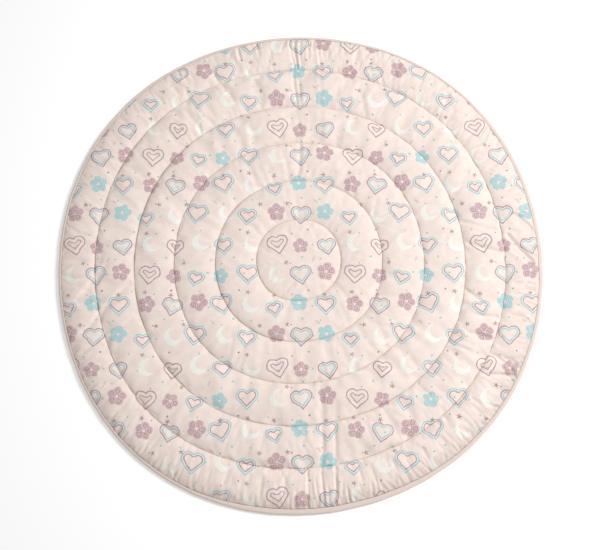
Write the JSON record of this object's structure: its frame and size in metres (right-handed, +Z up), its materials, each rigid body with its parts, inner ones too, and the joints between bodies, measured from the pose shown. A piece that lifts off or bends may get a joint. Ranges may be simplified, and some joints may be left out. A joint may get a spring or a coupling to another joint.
{
  "type": "baby play mat",
  "caption": "Round quilted baby play mat: a thin wadded pad sewn through in concentric rings, its rim wrapped in a folded strip, with a flat underside that rests on the floor.",
  "frame": {"origin": "bottom centre of the bounding box, on the floor under the middle of the mat", "axes": "+Z up through the face; +Y towards the top of the print, away from a viewer at the near edge; +X to that viewer's right"},
  "size_m": [1.0944, 1.1138, 0.0135],
  "materials": {
    "printed_cotton": "matt plain-weave cotton in pale blush pink with a small scattered nursery print in soft blue, mauve, taupe, mint and off-white",
    "binding_cotton": "matt plain-weave cotton in plain dusty pink, folded over the edge"
  },
  "bodies": {
    "root": {"quilted_pad": "printed_cotton", "edge_binding": "binding_cotton"}
  },
  "joints": []
}
